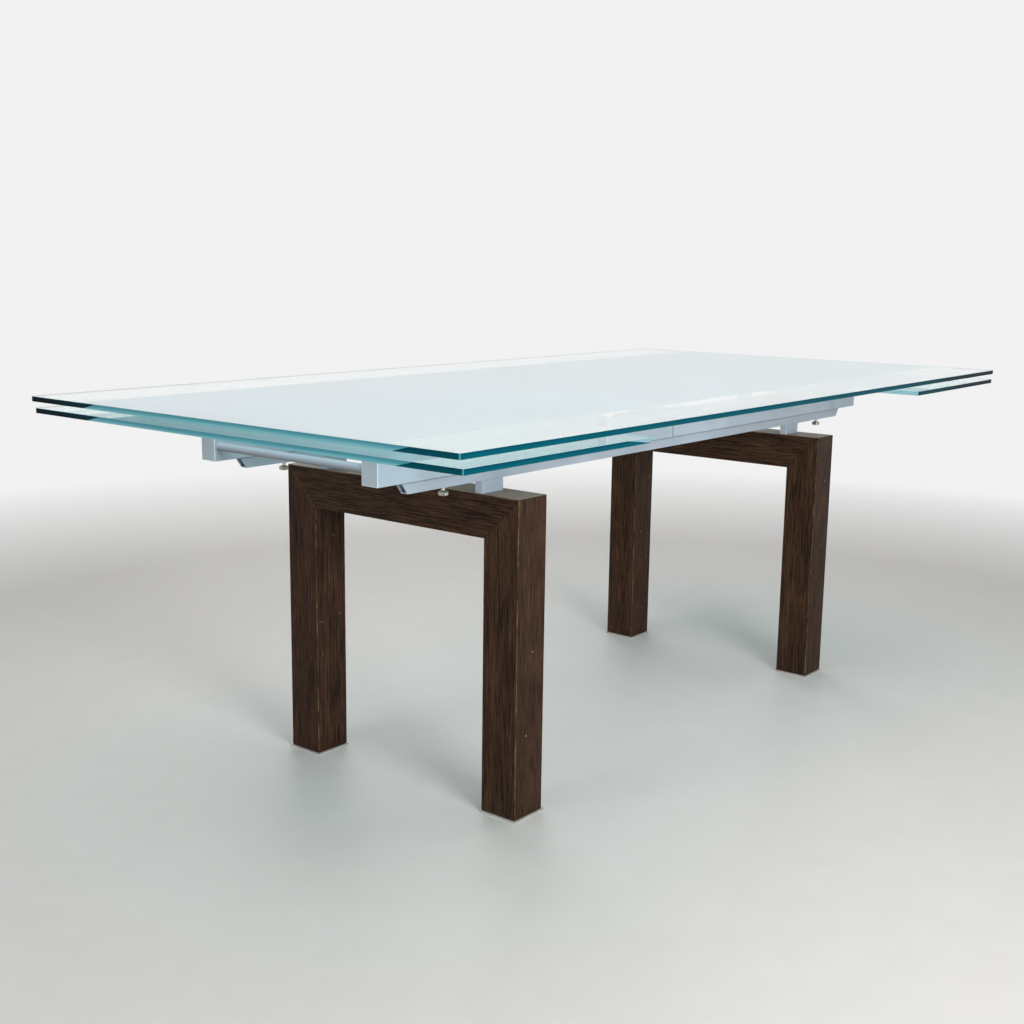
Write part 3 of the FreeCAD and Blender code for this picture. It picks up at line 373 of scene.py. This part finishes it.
def powder_coat(name, colour, rim_part=None, shade_line_height=None, tube=None):
    """Pale paint. rim_part gets a painted highlight along its rims, shade_line_height is the height
    of a dark line of painted shade, and tube is a round part painted lighter on top and darker
    underneath, as painted highlight and shade."""
    recipe = Recipe(name, Specular_IOR_Level=0.45, Coat_Roughness=0.22, IOR=1.5)
    place = recipe.place()
    cloud = recipe.noise(place, 5.0, detail=3.0)
    grime_place = recipe.stretched(place, (0.25, 1.0, 1.0))
    grime = recipe.noise(grime_place, 55.0, detail=5.0, roughness=0.65)
    paint = recipe.mix(cloud.ramp(0.35, 0.65), scaled(colour, 0.86), scaled(colour, 1.10))
    paint = recipe.mix(grime.ramp(0.58, 0.78) * 0.30, paint, GRIME)
    # Painted shade: a dark line just under the carriage's lower lip, for the shadow in the gap
    # there.
    if shade_line_height:
        height = recipe.parts(place)[2]
        shade_line = (height > shade_line_height - 3.0 * MM) * (height < shade_line_height + 1.5 * MM) * (0.55 + grime * 0.5)
        paint = recipe.mix(shade_line, paint, GAP_SHADE)
    # Painted highlight and shade: the tube lighter on top and darker underneath, for how light
    # falls on it.
    if tube:
        low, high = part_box(tube)
        level = (recipe.parts(place)[2] - low.z) / (high.z - low.z)
        paint = recipe.mix(level.ramp(0.05, 0.85), TUBE_SHADE, TUBE_HIGHLIGHT)
    # Painted highlight along the rims of the cap.
    if rim_part:
        paint = recipe.mix(near_a_rim(recipe, place, rim_part) * 0.8, paint, RIM_HIGHLIGHT)
    recipe.feed("Base Color", paint)
    recipe.feed("Roughness", 0.36 + grime * 0.14)
    recipe.feed("Coat Weight", 0.22 + cloud * 0.12)
    peel = recipe.noise(place, 420.0, detail=1.0)
    recipe.bump(peel, 0.05 * MM, 0.7)
    return recipe.material


rail_paint = powder_coat("rail_powder_coat", PALE_STEEL)
# the carriages' lower lip, under which the guide rails get their line of painted shade
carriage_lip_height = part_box("carriage_rail_front_left")[0].z
guide_paint = powder_coat("guide_powder_coat", PALE_STEEL, shade_line_height=carriage_lip_height)
cap_paint = powder_coat("end_cap_paint", CAP_GREY, rim_part=named("end_cap")[0])
dress(guide_paint, *named("guide_rail"))
dress(rail_paint, *named("carriage_rail", "rail_block", "cross_tie", "top_bearer"),
      "top_support_posts")
dress(cap_paint, *named("end_cap"))
print("painted", len(named("guide_rail", "carriage_rail", "rail_block", "end_cap")),
      "rails, blocks and caps")

# %% [markdown]
# ## Metals and plastics of the small parts
#
# Foot plates and bonding discs are satin aluminium: fine parallel brushing that shows as streaks in
# the roughness. Bolts, studs and inserts are zinc plated, with the dull, blotchy bloom of zinc. The
# rollers and stops are white acetal, which is waxy and slightly see-through in thin places, so its
# tone is warm and its gloss is soft. The dowels inside the mitres are plain beech.

# %% Satin aluminium, zinc, acetal and beech
def satin_metal(name, colour, brushing, roughness):
    """Metal whose brush marks are long where brushing, a scale for each axis, is small."""
    recipe = Recipe(name, Metallic=1.0)
    place = recipe.place()
    brush = recipe.noise(recipe.stretched(place, brushing), 900.0, detail=2.0)
    bloom = recipe.noise(place, 60.0, detail=3.0)
    recipe.feed("Base Color", recipe.mix(bloom.ramp(0.4, 0.7), colour, scaled(colour, 0.80)))
    recipe.feed("Roughness", roughness + brush * 0.18 + bloom * 0.08)
    recipe.bump(brush, 0.02 * MM, 0.5)
    return recipe.material


def acetal(name):
    """White bearing plastic with fine scuffs."""
    recipe = Recipe(name, Specular_IOR_Level=0.4)
    place = recipe.place()
    scuffs = recipe.noise(place, 240.0, detail=4.0, roughness=0.7)
    scuffed = recipe.mix(scuffs.ramp(0.5, 0.75), rgb(232, 230, 222), rgb(188, 184, 174))
    recipe.feed("Base Color", scuffed)
    recipe.feed("Roughness", 0.42 + scuffs * 0.2)
    recipe.bump(scuffs, 0.03 * MM, 0.5)
    return recipe.material


def beech(name):
    """Plain pale wood, flecked along X."""
    recipe = Recipe(name)
    flecks = recipe.noise(recipe.stretched(recipe.place(), (1.0, 0.2, 0.2)), 300.0, detail=3.0)
    recipe.feed("Base Color", recipe.mix(flecks, rgb(205, 168, 122), rgb(176, 134, 92)))
    recipe.feed("Roughness", 0.6 + flecks * 0.15)
    recipe.bump(flecks, 0.05 * MM, 0.5)
    return recipe.material


foot_metal = satin_metal("foot_plate_aluminium", rgb(205, 204, 200), (1.0, 0.04, 1.0), 0.30)
disc_metal = satin_metal("disc_aluminium", rgb(200, 202, 204), (1.0, 1.0, 0.1), 0.28)
zinc = satin_metal("zinc_plate", rgb(178, 180, 184), (1.0, 1.0, 1.0), 0.34)
dress(foot_metal, *named("foot_plate"))
dress(disc_metal, *named("leaf_spacers", "leaf_discs"), "top_glass_discs")
dress(zinc, *named("carriage_roller_studs"), "support_roller_studs", "block_bolts", "foot_screws",
      "thread_inserts")
rollers = [part for part in named("support_roller_", "carriage_roller_") if "studs" not in part]
dress(acetal("acetal"), *rollers, "travel_stops")
dress(beech("beech"), "mitre_dowels")
print("small parts dressed,", len(rollers), "rollers")

# %% [markdown]
# ## Glass with a frosted field
#
# The panes are ordinary float glass, 10 mm thick. Looked through, it is nearly clear, but looked
# into from the edge, light has come a long way through it and only green-blue is left. Along both
# long sides runs a clear band. Between the bands the underside is frosted, and that pale field
# lights the end of the pane from inside, so its edge turns from near-black to a pale aqua.
#
# Tracing that light would take thousands of samples, so the edge is painted instead: its zones are
# masks on the position. The faces are real refracting glass. Lamp light is let through with a tint,
# by mixing in a transparent shader for shadow rays only, because otherwise the frosted field would
# cast the solid shadow of a board. The leaves have glass and frost of their own, a little greener
# than the top's, and their frost is painted paler as painted light, to make up for the top's shade,
# since they are mostly seen through the top.

# %% Glass materials
BAND = 150 * MM  # clear band along each long side
LEAN = 38 * MM  # how far the border of the bright zone leans inside the edge
CLEAR, EDGE, ARRIS, FROST = range(4)
HAIRLINE_RUNS = ((0.5, 13.0), (-0.9, 11.0), (1.5, 17.0))  # turn and scale of each set
CELL_WIDTH = 0.12  # width of a scratch's cell for its length
CLEAR_SHADOW = (0.90, 0.97, 0.96, 1.0)
FROST_SHADOW = (0.86, 0.94, 0.94, 1.0)
SCRATCH = rgb(112, 124, 130)
TEAL_TOP, TEAL_FOOT = rgb(0, 72, 90), rgb(0, 92, 106)
NEAR_BLACK, BLACK_TEAL = rgb(0, 12, 18), rgb(6, 38, 48)
AQUA_TOP, AQUA_FOOT = rgb(84, 170, 188), rgb(136, 212, 222)
AQUA_BRINK = rgb(44, 118, 134)
INNER_GLOW = rgb(146, 184, 198)
CORNER_AQUA = rgb(104, 172, 184)
CORNER_WIDTH = 2.4 * MM


def hairlines(recipe, place):
    """Fine scratches: thin borders of long cells, broken up so that few of them show."""
    lines = None
    for turn, scale in HAIRLINE_RUNS:
        stretched = recipe.stretched(place, (1.0, CELL_WIDTH, 1.0), turn=turn)
        distance, _ = recipe.cells(stretched, scale, "DISTANCE_TO_EDGE")
        patch = recipe.noise(stretched, scale * 2.3, detail=2.0)
        line = (1.0 - distance.ramp(0.0, 0.009)) * patch.ramp(0.56, 0.66)
        lines = line if lines is None else lines.larger(line)
    return lines


def seen_through(recipe, tint):
    """Let lamp light pass with a tint instead of casting a solid shadow."""
    film = recipe.node("ShaderNodeBsdfTransparent", inputs={"Color": tint})
    path = recipe.node("ShaderNodeLightPath")
    blend = recipe.node("ShaderNodeMixShader", inputs={
        0: path.outputs["Is Shadow Ray"], 1: recipe.shader.outputs[0], 2: film.outputs[0]})
    recipe.tree.links.new(blend.outputs[0], recipe.output.inputs["Surface"])


def clear_glass(name, tint, clarity):
    """Faces that are looked through. What isn't clarity is a faint milkiness."""
    recipe = Recipe(name, Base_Color=tint, Transmission_Weight=clarity, IOR=1.5)
    place = recipe.place()
    smear = recipe.noise(place, 3.0, detail=3.0)
    recipe.feed("Roughness", smear.ramp(0.45, 0.9) * 0.02 + hairlines(recipe, place) * 0.15)
    seen_through(recipe, CLEAR_SHADOW)
    return recipe.material


def edge_glass(name, low, high, stowed):
    """Edge of a pane: deep teal beside the clear bands, aqua beside the frosted field."""
    recipe = Recipe(name, IOR=1.08, Coat_Roughness=0.03)
    place = recipe.place()
    across, along, up = recipe.parts(place)
    level = (up - low.z) / (high.z - low.z)
    ripple = recipe.noise(recipe.stretched(place, (1.0, 1.0, 30.0)), 7.0, detail=2.0)

    # Beside the clear bands: teal, and near-black towards the far corners.
    far = (across * 0.5 + along + (ripple - 0.5) * 0.3).ramp(-0.32, -0.06)
    teal = recipe.mix((level + ripple - 0.5).ramp(0.0, 1.0), TEAL_FOOT, TEAL_TOP)
    black = recipe.mix((ripple + level * 0.3).ramp(0.45, 0.75), NEAR_BLACK, BLACK_TEAL)
    deep = recipe.mix(far, teal, black)

    # Beside the frosted field: aqua, with a darker line under the upper rim.
    glow = (level + (ripple - 0.5) * 0.4).ramp(0.15, 0.6)
    bright = recipe.mix(glow, AQUA_FOOT, AQUA_TOP)
    bright = recipe.mix(level.ramp(0.80, 0.92) * 0.7, bright, AQUA_BRINK)
    skewed = (along + LEAN + (level - 0.5) * LEAN).size()
    border = high.y - BAND
    inside = 1.0 - skewed.ramp(border - 2 * MM, border + 2 * MM)
    colour = recipe.mix(inside, deep, bright)

    # The inner end of a leaf shines, and on the left leaf a wedge of the long edges beside it.
    if stowed:
        inwards = across.size() - min(abs(low.x), abs(high.x))
        wedge = (inwards < level * (2 * LEAN)) * (across < 0.0)
        colour = recipe.mix(wedge.larger(inwards < 1.5 * MM) * 0.9, colour, INNER_GLOW)

    # The upright corners are polished facets, painted a paler aqua as a painted highlight.
    from_end = (across - (low.x + high.x) / 2).size() * -1.0 + (high.x - low.x) / 2
    from_side = along.size() * -1.0 + high.y
    corner = from_end.larger(from_side) < CORNER_WIDTH
    colour = recipe.mix(corner * 0.6, colour, CORNER_AQUA)
    recipe.feed("Base Color", colour)
    recipe.feed("Roughness", 0.05 + ripple * 0.05)
    recipe.feed("Coat Weight", inside * 0.25 + 0.02)
    return recipe.material


def arris_glass(name):
    """The bevelled rims: ground, polished and paler than the edge."""
    recipe = Recipe(name, Specular_IOR_Level=0.6)
    grind = recipe.noise(recipe.place(), 260.0, detail=3.0)
    recipe.feed("Base Color", recipe.mix(grind, rgb(150, 205, 212), rgb(214, 240, 242)))
    recipe.feed("Roughness", 0.16 + grind * 0.2)
    return recipe.material


def frosted_glass(name, dull, pale):
    """Acid-etched underside: even, pale and slightly green, faintly cloudy and scratched."""
    recipe = Recipe(name, Specular_IOR_Level=0.2)
    place = recipe.place()
    cloud = recipe.noise(place, 2.2, detail=4.0)
    grain = recipe.noise(place, 900.0, detail=1.0)
    field = recipe.mix(cloud.ramp(0.3, 0.7), dull, pale)
    recipe.feed("Base Color", recipe.mix(hairlines(recipe, place) * 0.7, field, SCRATCH))
    recipe.feed("Roughness", 0.72 + grain * 0.1)
    recipe.bump(grain, 0.02 * MM, 0.4)
    seen_through(recipe, FROST_SHADOW)
    return recipe.material


clear = clear_glass("clear_glass", (0.94, 0.99, 0.985, 1.0), 0.86)
clear_leaf = clear_glass("clear_leaf_glass", (0.83, 0.958, 0.965, 1.0), 0.9)
arris = arris_glass("polished_arris")
frost = frosted_glass("frosted_underside", rgb(164, 179, 187), rgb(172, 188, 195))
# paler than the top's frost: painted light for the top's shade that the leaves are seen in
frost_leaf = frosted_glass("frosted_leaf_underside", rgb(176, 190, 195), rgb(184, 198, 203))
print("glass materials ready")


# %% [markdown]
# ## Shaping a pane
#
# One pane is a cube drawn out to size, with its upright corners rounded, its rims bevelled to a
# polished arris, and its faces cut along the borders of the frosted field. Four materials share it:
# clear faces, edges, arrises and the frosted underside. Metal discs are bonded to the underside, so
# the pane's lower face lies a glue line above them.

# %% The panes
GLUE = 0.05 * MM
RIM = 0.5 * MM
CORNER = 5 * MM


def is_upright(edge):
    """True for the four corner edges, which become round."""
    return abs(edge.verts[0].co.z - edge.verts[1].co.z) > MM


def is_rim(edge):
    """True for an edge round the upper or lower face, which becomes an arris."""
    return not is_upright(edge) and any(abs(face.normal.z) > 0.9 for face in edge.link_faces)


def glass_zone(face, field):
    """Which of the four materials a face of the pane has."""
    slope = face.normal.z
    if -0.99 < slope < 0.1:
        return EDGE
    if abs(slope) < 0.99:
        return ARRIS
    if slope < 0 and abs(face.calc_center_median().y) < field:
        return FROST
    return CLEAR


def pane(part, body, face_glass, field_glass):
    """A glass pane with soft corners, polished arrises and a frosted field under its middle."""
    low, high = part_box(part)
    low.z += GLUE
    mesh = bmesh.new()
    bmesh.ops.create_cube(mesh, size=1.0)
    bmesh.ops.scale(mesh, vec=high - low, verts=mesh.verts)
    bmesh.ops.translate(mesh, vec=(low + high) / 2, verts=mesh.verts)
    bmesh.ops.bevel(mesh, geom=[edge for edge in mesh.edges if is_upright(edge)], offset=CORNER,
                    segments=5, profile=0.5, affect="EDGES", material=-1)
    bmesh.ops.bevel(mesh, geom=[edge for edge in mesh.edges if is_rim(edge)], offset=RIM,
                    segments=2, profile=0.5, affect="EDGES", material=-1)
    field = high.y - BAND
    for side in (-field, field):
        bmesh.ops.bisect_plane(mesh, geom=mesh.verts[:] + mesh.edges[:] + mesh.faces[:],
                               plane_co=(0, side, 0), plane_no=(0, 1, 0))
    mesh.normal_update()
    for face in mesh.faces:
        face.material_index = glass_zone(face, field)
    shape = bpy.data.meshes.new(part + "_pane")
    mesh.to_mesh(shape)
    mesh.free()
    edge = edge_glass("edge_" + part, low, high, stowed=part.startswith("leaf"))
    for material in (face_glass, edge, arris, field_glass):
        shape.materials.append(material)
    piece = bpy.data.objects.new(part + "_pane", shape)
    bpy.context.scene.collection.objects.link(piece)
    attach(piece, body)
    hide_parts(part)
    print(piece.name, len(shape.polygons), "faces")


pane("top_glass", "table", clear, frost)
pane("leaf_glass_left", "left_carriage", clear_leaf, frost_leaf)
pane("leaf_glass_right", "right_carriage", clear_leaf, frost_leaf)

# %% [markdown]
# ## Cross tubes
#
# A round tube ties the two rails of each carriage at its outer end. The frame's tube is a faceted
# solid, good for collisions but not for a highlight that runs its whole length. The outline of its
# wall, spun round its axis in fine steps, gives a smooth one. Small weld beads, spun the same way,
# go round both ends where the tube meets the rails.

# %% Pieces and turned shapes
def new_piece(name, mesh, material, body, *replaced, slot=None, smooth=True):
    """Turn a bmesh into a piece that rides on a body."""
    shape = bpy.data.meshes.new(name)
    mesh.to_mesh(shape)
    mesh.free()
    shape.materials.append(material)
    if smooth:
        shape.shade_smooth()
    piece = bpy.data.objects.new(name, shape)
    bpy.context.scene.collection.objects.link(piece)
    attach(piece, body)
    if replaced:
        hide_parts(*replaced)
    print(name, len(shape.polygons), "faces")
    return piece


def turned(mesh, outline, centre, axis, steps=48):
    """Spin an outline of (distance along the axis, radius) pairs into a closed ring or solid."""
    direction = Vector(axis)
    sideways = direction.orthogonal().normalized()
    corners = [mesh.verts.new(Vector(centre) + direction * along + sideways * radius)
               for along, radius in outline]
    edges = [mesh.edges.new(pair) for pair in zip(corners, corners[1:])]
    bmesh.ops.spin(mesh, geom=corners + edges, cent=centre, axis=direction, angle=2 * math.pi,
                   steps=steps, use_merge=True)
    bmesh.ops.remove_doubles(mesh, verts=mesh.verts, dist=1e-6)
    bmesh.ops.recalc_face_normals(mesh, faces=mesh.faces)


# %% The tubes and their beads
TUBE_WALL = 1.5 * MM
BEAD = ((0.0, 0.0), (1.0, 1.3), (2.4, 0.9), (3.0, -0.1), (0.0, -0.1), (0.0, 0.0))
SHARP = math.radians(40)
tube_paint = powder_coat("tube_powder_coat", PALE_STEEL, tube="cross_tube_left")


def cross_tube(side, body):
    """A smooth tube, and a weld bead round each of its ends. BEAD is a bead's outline in
    millimetres: how far in from the end, and how far out from the tube."""
    low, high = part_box("cross_tube_" + side)
    centre = (low + high) / 2
    radius = (high.z - low.z) / 2
    half = high.y
    bore = radius - TUBE_WALL
    wall = [(-half, bore), (-half, radius), (half, radius), (half, bore)]
    tube = bmesh.new()
    turned(tube, wall + wall[:1], centre, (0, 1, 0), steps=56)
    piece = new_piece("cross_tube_smooth_" + side, tube, tube_paint, body, "cross_tube_" + side,
                      slot="rail_paint")
    piece.data.set_sharp_from_angle(angle=SHARP)
    beads = bmesh.new()
    for end in (-1, 1):
        outline = [(end * (half - inwards * MM), radius + outwards * MM)
                   for inwards, outwards in BEAD]
        turned(beads, outline, centre, (0, 1, 0), steps=40)
    new_piece("cross_tube_welds_" + side, beads, rail_paint, body, slot="rail_paint")


cross_tube("left", "left_carriage")
cross_tube("right", "right_carriage")

# %% [markdown]
# ## Knurled thumb screws
#
# Under each end of the guide rails hangs a nickel-plated thumb screw. Its head is knurled: crossed
# cuts leave rows of little pyramids that fingers can grip. The head starts as a turned outline with
# a fine grid of points round its rim, and every other point of that grid is then pushed out. The
# stem is a stack of thread crests, turned the same way.

# %% The screws
HEAD_HEIGHT = 8 * MM
HEAD_EDGE = ((0.0, 1.6), (0.35, 0.9), (0.9, 0.3))  # rounding in mm: up the head, in from the rim
KNURLS = 40  # pyramids round the head
KNURL_ROWS = 8
KNURL_MARGIN = 1.2 * MM  # plain strip above and below them
RIM_INSET = 0.45 * MM  # the grid lies this far inside the head's radius
KNURL_DEPTH = 0.42 * MM  # and every other point of it is pushed out by this
HAIR = 0.02 * MM
COLLAR = 0.8 * MM
COLLAR_FOOT, COLLAR_TOP = 4.9 * MM, 4.3 * MM
STEM_RADIUS = 3.5 * MM
PITCH = 1.0 * MM
THREAD_DEPTH = 0.45 * MM
NICKEL, DULL_NICKEL = rgb(214, 210, 200), rgb(172, 165, 150)


def nickel_plate(name):
    """Bright nickel with a bloom of fine dull spots."""
    recipe = Recipe(name, Metallic=1.0)
    bloom = recipe.noise(recipe.place(), 180.0, detail=4.0)
    recipe.feed("Base Color", recipe.mix(bloom.ramp(0.4, 0.7), NICKEL, DULL_NICKEL))
    recipe.feed("Roughness", 0.16 + bloom * 0.22)
    return recipe.material


nickel = nickel_plate("nickel_plate")


def knurled_head(part, centre, rim):
    """A turned head whose rim is a grid of points, every other one of them pushed out."""
    band_low, band_high = KNURL_MARGIN, HEAD_HEIGHT - KNURL_MARGIN
    band = band_high - band_low
    outline = [(0.0, 0.0)]
    outline += [(up * MM, rim - inwards * MM) for up, inwards in HEAD_EDGE]
    outline += [(band_low + band * row / KNURL_ROWS, rim) for row in range(KNURL_ROWS + 1)]
    outline += [(HEAD_HEIGHT - up * MM, rim - inwards * MM) for up, inwards in reversed(HEAD_EDGE)]
    outline += [(HEAD_HEIGHT, COLLAR_FOOT), (HEAD_HEIGHT + COLLAR, COLLAR_TOP),
                (HEAD_HEIGHT + COLLAR, 0.0)]
    head = bmesh.new()
    turned(head, outline, centre, (0, 0, 1), steps=2 * KNURLS)
    for vertex in head.verts:
        offset = vertex.co - centre
        distance = math.hypot(offset.x, offset.y)
        if abs(distance - rim) < HAIR:
            column = round(math.atan2(offset.y, offset.x) / math.pi * KNURLS)
            row = round((offset.z - band_low) / band * KNURL_ROWS)
            if (column + row) % 2 == 0:
                vertex.co += Vector((offset.x, offset.y, 0)) / distance * KNURL_DEPTH
    new_piece(part + "_head", head, nickel, part, part, slot="nickel", smooth=False)


def threaded_stem(part, centre, length):
    """A stack of thread crests, as many as fit in the length."""
    start = HEAD_HEIGHT + COLLAR
    crests = int(length / PITCH) - 1
    root, crest_radius = STEM_RADIUS - THREAD_DEPTH, STEM_RADIUS - HAIR
    outline = [(start, 0.0)]
    for crest in range(crests):
        outline += [(start + crest * PITCH, root), (start + (crest + 0.5) * PITCH, crest_radius)]
    outline += [(start + crests * PITCH, root), (start + crests * PITCH, 0.0)]
    stem = bmesh.new()
    turned(stem, outline, centre, (0, 0, 1), steps=28)
    new_piece(part + "_stem", stem, nickel, part, slot="nickel")


for part in named("thumb_screw"):
    low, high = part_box(part)
    centre = Vector(((low.x + high.x) / 2, (low.y + high.y) / 2, low.z))
    knurled_head(part, centre, (high.x - low.x) / 2 - RIM_INSET)
    threaded_stem(part, centre, high.z - centre.z - HEAD_HEIGHT)

# %% [markdown]
# ## Studio
#
# The setting stays out of the way: a round pale floor that fades into an even, near-white surround,
# so that no horizon shows through the clear glass. The surround is seen and mirrored, but it lights
# no matt surface. That is left to four large soft lamps, which can't be seen, either directly or
# through the glass, and of which only the front and the overhead one are mirrored. The front one
# stands near the left corner, because that is where the timber shows its grain, and the one
# overhead lets the glass glow without hard shadows.

# %% Floor and surround
FLOOR_RADIUS = 3.7
FADE_START, FADE_END = 1.9, 3.6  # distances from the middle of the floor
FLOOR_LOW, FLOOR_HIGH = rgb(208, 206, 203), rgb(216, 214, 211)
SURROUND = (0.885, 0.885, 0.885, 1.0)

floor_recipe = Recipe("studio_floor", Specular_IOR_Level=0.3)
floor_place = floor_recipe.place()
fleck = floor_recipe.noise(floor_place, 14.0, detail=4.0)
floor_recipe.feed("Base Color", floor_recipe.mix(fleck, FLOOR_LOW, FLOOR_HIGH))
floor_recipe.feed("Roughness", 0.42 + fleck * 0.12)
east, north, _ = floor_recipe.parts(floor_place)
distance = (east * east + north * north).math("SQRT")
open_air = floor_recipe.node("ShaderNodeBsdfTransparent")
sweep = floor_recipe.node("ShaderNodeMixShader", inputs={
    0: distance.ramp(FADE_START, FADE_END), 1: floor_recipe.shader.outputs[0],
    2: open_air.outputs[0]})
floor_recipe.tree.links.new(sweep.outputs[0], floor_recipe.output.inputs["Surface"])
floor_mesh = bmesh.new()
bmesh.ops.create_circle(floor_mesh, cap_ends=True, segments=96, radius=FLOOR_RADIUS)
floor_shape = bpy.data.meshes.new("studio_floor")
floor_mesh.to_mesh(floor_shape)
floor_mesh.free()
floor_shape.materials.append(floor_recipe.material)
floor = bpy.data.objects.new("studio_floor", floor_shape)
bpy.context.scene.collection.objects.link(floor)

world = bpy.data.worlds.new("studio")
bpy.context.scene.world = world
world.use_nodes = True
world.node_tree.nodes["Background"].inputs["Color"].default_value = SURROUND
world.cycles_visibility.diffuse = False
bpy.context.scene.view_settings.view_transform = "Standard"
print("floor and surround ready")


# %% Lights
def soft_light(name, place, target, size, power, mirrored=True):
    """A large square lamp at place, turned to face target, that gloss may or may not mirror."""
    lamp = bpy.data.lights.new(name, "AREA")
    lamp.shape = "SQUARE"
    lamp.size = size
    lamp.energy = power
    holder = bpy.data.objects.new(name, lamp)
    holder.location = place
    holder.visible_camera = False
    holder.visible_transmission = False
    holder.visible_glossy = mirrored
    holder.rotation_euler = (Vector(target) - Vector(place)).to_track_quat("-Z", "Y").to_euler()
    bpy.context.scene.collection.objects.link(holder)


soft_light("front_light", (-1.4, -2.8, 1.4), (0, 0, 0.4), 1.2, 66)
soft_light("left_light", (-4.6, 0.8, 1.5), (0, 0, 0.5), 2.0, 48, mirrored=False)
soft_light("overhead_light", (0.0, 0.0, 3.6), (0, 0, 0.7), 4.0, 90)
soft_light("back_light", (3.0, 3.8, 1.9), (0, 0, 0.5), 2.5, 70, mirrored=False)
print("lights ready")

# %% [markdown]
# ## Camera
#
# The camera stands at a corner, a little above the top, so that both the long side and the end are
# seen and the glass is met at a grazing angle. Heading is measured from straight along the table's
# width, tilt is downwards, and there is a trace of roll, as when it is held by hand.

# %% The camera
STAND = (-2.3946, -1.7215, 1.0116)
HEADING = math.radians(51.08)
TILT = math.radians(10.76)
ROLL = math.radians(0.78)
SENSOR_WIDTH = 36  # in millimetres, as the focal length
FOCAL_LENGTH = 46.66
lens = bpy.data.cameras.new("camera")
lens.sensor_width = SENSOR_WIDTH
lens.lens = FOCAL_LENGTH
camera = bpy.data.objects.new("camera", lens)
camera.matrix_world = (
    Matrix.Translation(STAND)
    @ Matrix.Rotation(-HEADING, 4, "Z")
    @ Matrix.Rotation(math.pi / 2 - TILT, 4, "X")
    @ Matrix.Rotation(ROLL, 4, "Z")
)
bpy.context.scene.collection.objects.link(camera)
bpy.context.scene.camera = camera
print("camera ready")
